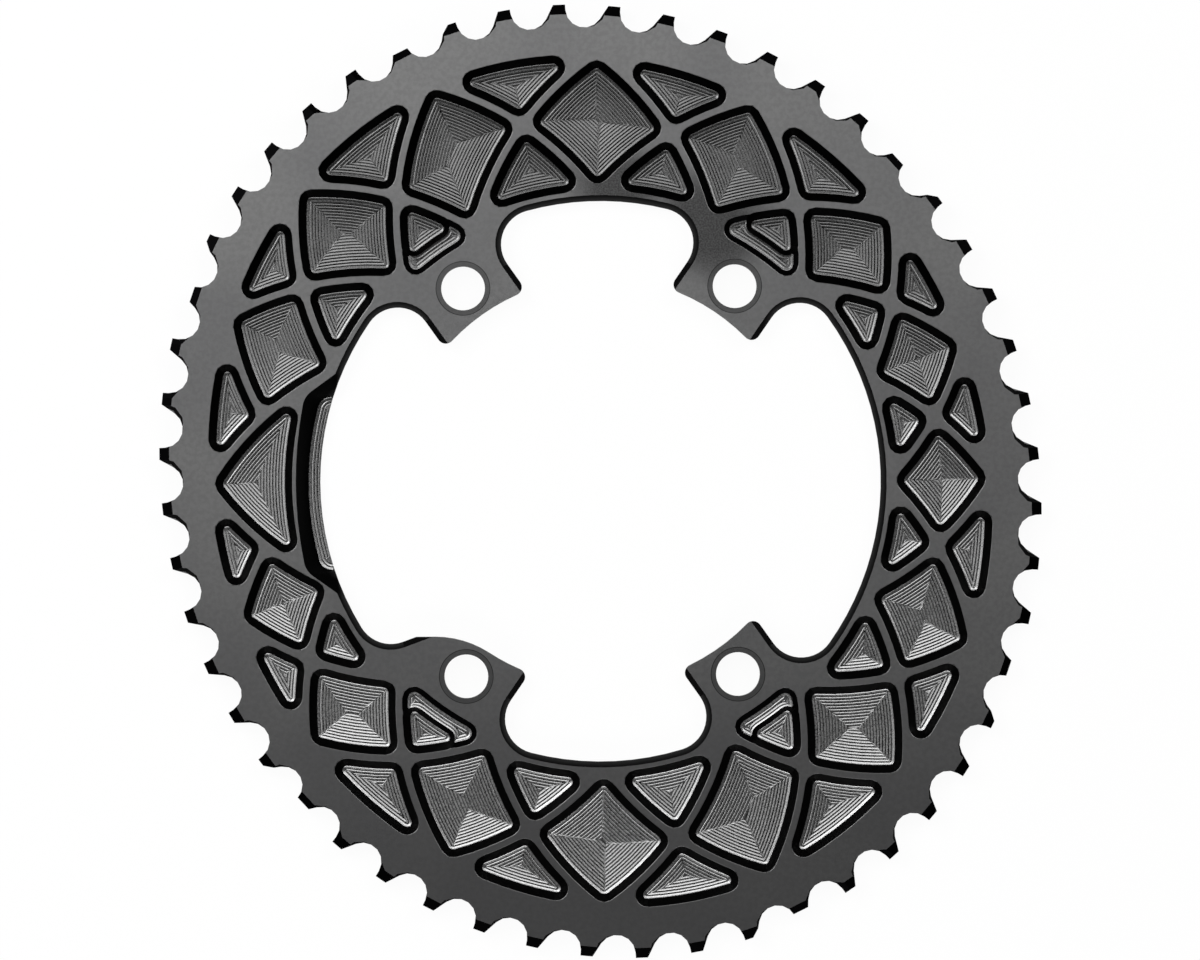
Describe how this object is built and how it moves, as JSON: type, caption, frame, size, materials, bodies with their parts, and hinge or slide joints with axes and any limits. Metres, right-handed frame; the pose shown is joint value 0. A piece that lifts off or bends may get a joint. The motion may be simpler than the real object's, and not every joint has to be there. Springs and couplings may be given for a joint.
{
  "type": "bicycle chainring",
  "caption": "Oval outer chainring for a road double crankset, with a four-arm bolt pattern, a milled lattice of pockets on the front and shift ramps with pins on the back.",
  "frame": {"origin": "centre of the bolt circle, on the back face that seats on the crank spider", "axes": "+Z out of the front face along the crank axle, +Y and +X along the long and short sides of the bolt rectangle"},
  "size_m": [0.2048, 0.2216, 0.0046],
  "materials": {
    "ring": "dark satin anodised, with brighter cutter marks on the pocket floors",
    "pin": "plain turned"
  },
  "bodies": {
    "root": {"chainring": "ring", "shift_pins": "pin"}
  },
  "joints": []
}
